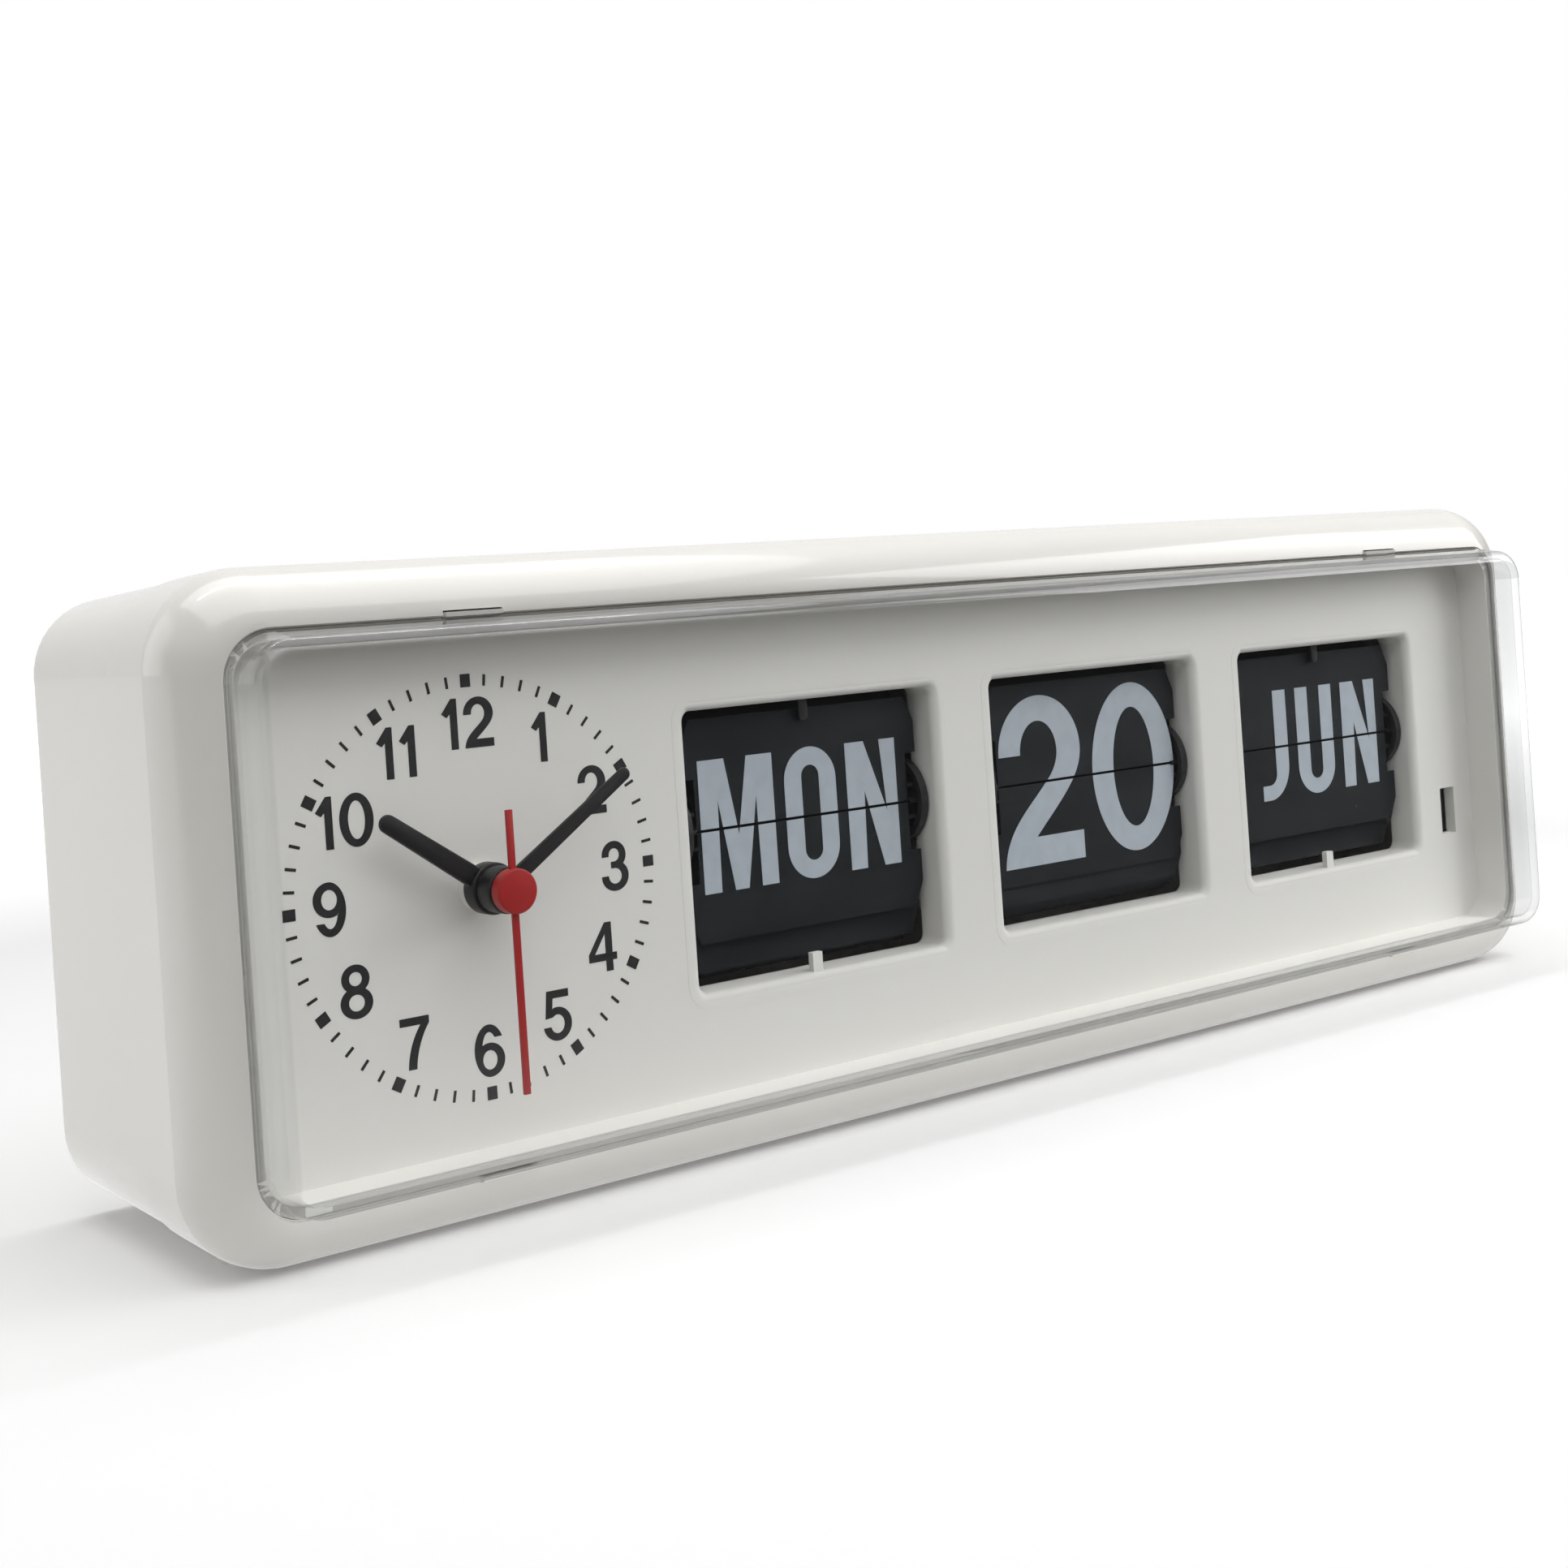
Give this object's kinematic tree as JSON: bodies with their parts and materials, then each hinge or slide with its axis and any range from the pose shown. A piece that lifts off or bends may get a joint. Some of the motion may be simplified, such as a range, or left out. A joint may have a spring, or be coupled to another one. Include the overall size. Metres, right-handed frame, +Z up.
{
  "type": "calendar flip clock",
  "caption": "Wide desk clock: round dial with three hands beside split flap day, date and month windows behind one clear raised lens, in a rounded two shell case.",
  "frame": {"origin": "middle of the clock's box, on the surface it stands on", "axes": "+X to the reader's right, +Z up, front towards -Y"},
  "size_m": [0.388, 0.0864, 0.124],
  "materials": {
    "case": "warm white, fine matte",
    "panel": "white, fine matte",
    "lens": "clear moulded acrylic",
    "hands": "black, satin",
    "second": "red, satin",
    "leaf": "near black, matte",
    "frame": "black moulding",
    "steel": "bright",
    "brass": "turned",
    "board": "green circuit board",
    "cell": "printed sleeve, left plain",
    "rubber": "soft, matte"
  },
  "bodies": {
    "clock": {"front_case": "case", "rear_cover": "case", "lens": "lens", "dial_panel": "panel", "movement": "frame", "hub_collar": "panel", "control_board": "board", "dry_cell": "cell", "battery_contacts": "steel", "unit_screws": "steel", "case_screws": "steel", "rear_feet": "rubber", "day_frame": "panel", "day_axle": "steel", "day_motor": "steel", "day_leaf_lower": "leaf", "day_leaf_pack": "leaf", "date_frame": "panel", "date_axle": "steel", "date_motor": "steel", "date_leaf_lower": "leaf", "date_leaf_pack": "leaf", "month_frame": "panel", "month_axle": "steel", "month_motor": "steel", "month_leaf_lower": "leaf", "month_leaf_pack": "leaf"},
    "hour_hand": {"hour_hand": "hands"},
    "minute_hand": {"minute_hand": "hands"},
    "second_hand": {"second_hand": "second"},
    "time_knob": {"time_knob": "case"},
    "battery_door": {"battery_door": "case"},
    "day_spool": {"day_spool": "frame"},
    "day_pinion": {"day_pinion": "brass"},
    "day_leaf": {"day_leaf_upper": "leaf"},
    "day_button": {"day_button": "case"},
    "date_spool": {"date_spool": "frame"},
    "date_pinion": {"date_pinion": "brass"},
    "date_leaf": {"date_leaf_upper": "leaf"},
    "date_button": {"date_button": "case"},
    "month_spool": {"month_spool": "frame"},
    "month_pinion": {"month_pinion": "brass"},
    "month_leaf": {"month_leaf_upper": "leaf"},
    "month_button": {"month_button": "case"}
  },
  "joints": [
    {"name": "minute_spin", "type": "hinge", "parent": "clock", "child": "minute_hand", "pos_m": [-0.1317, -0.0228, 0.0615], "axis": [0, 1, 0], "continuous": true},
    {"name": "hour_spin", "type": "hinge", "parent": "clock", "child": "hour_hand", "pos_m": [-0.1317, -0.0228, 0.0615], "axis": [0, 1, 0], "continuous": true},
    {"name": "second_spin", "type": "hinge", "parent": "clock", "child": "second_hand", "pos_m": [-0.1317, -0.0228, 0.0615], "axis": [0, 1, 0], "continuous": true},
    {"name": "knob_turn", "type": "hinge", "parent": "clock", "child": "time_knob", "pos_m": [-0.1317, 0.0372, 0.0785], "axis": [0, 1, 0], "continuous": true},
    {"name": "day_spool_spin", "type": "hinge", "parent": "clock", "child": "day_spool", "pos_m": [-0.04745, -0.0097, 0.065], "axis": [1, 0, 0], "continuous": true},
    {"name": "day_pinion_spin", "type": "hinge", "parent": "clock", "child": "day_pinion", "pos_m": [-0.04745, 0.0038, 0.065], "axis": [1, 0, 0], "continuous": true},
    {"name": "day_leaf_fall", "type": "hinge", "parent": "clock", "child": "day_leaf", "pos_m": [-0.04745, -0.0177, 0.065], "axis": [1, 0, 0], "range_deg": [0, 180]},
    {"name": "day_button_press", "type": "slide", "parent": "clock", "child": "day_button", "axis": [0, -1, 0], "range_m": [0, 0.0015], "stiffness_N_per_m": 600},
    {"name": "date_spool_spin", "type": "hinge", "parent": "clock", "child": "date_spool", "pos_m": [0.0383, -0.0097, 0.065], "axis": [1, 0, 0], "continuous": true},
    {"name": "date_pinion_spin", "type": "hinge", "parent": "clock", "child": "date_pinion", "pos_m": [0.0383, 0.0038, 0.065], "axis": [1, 0, 0], "continuous": true},
    {"name": "date_leaf_fall", "type": "hinge", "parent": "clock", "child": "date_leaf", "pos_m": [0.0383, -0.0177, 0.065], "axis": [1, 0, 0], "range_deg": [0, 180]},
    {"name": "date_button_press", "type": "slide", "parent": "clock", "child": "date_button", "axis": [0, -1, 0], "range_m": [0, 0.0015], "stiffness_N_per_m": 600},
    {"name": "month_spool_spin", "type": "hinge", "parent": "clock", "child": "month_spool", "pos_m": [0.12405, -0.0097, 0.065], "axis": [1, 0, 0], "continuous": true},
    {"name": "month_pinion_spin", "type": "hinge", "parent": "clock", "child": "month_pinion", "pos_m": [0.12405, 0.0038, 0.065], "axis": [1, 0, 0], "continuous": true},
    {"name": "month_leaf_fall", "type": "hinge", "parent": "clock", "child": "month_leaf", "pos_m": [0.12405, -0.0177, 0.065], "axis": [1, 0, 0], "range_deg": [0, 180]},
    {"name": "month_button_press", "type": "slide", "parent": "clock", "child": "month_button", "axis": [0, -1, 0], "range_m": [0, 0.0015], "stiffness_N_per_m": 600},
    {"name": "battery_door_swing", "type": "hinge", "parent": "clock", "child": "battery_door", "pos_m": [-0.184, 0.04195, 0.03], "axis": [0, 0, 1], "range_deg": [0, 100]}
  ],
  "couplings": [
    {"joint": "minute_spin", "follows": "second_spin", "ratio": 0.016667},
    {"joint": "hour_spin", "follows": "second_spin", "ratio": 0.0013889},
    {"joint": "knob_turn", "follows": "second_spin", "ratio": -0.016667},
    {"joint": "day_pinion_spin", "follows": "day_spool_spin", "ratio": -2},
    {"joint": "date_pinion_spin", "follows": "date_spool_spin", "ratio": -2},
    {"joint": "month_pinion_spin", "follows": "month_spool_spin", "ratio": -2}
  ]
}
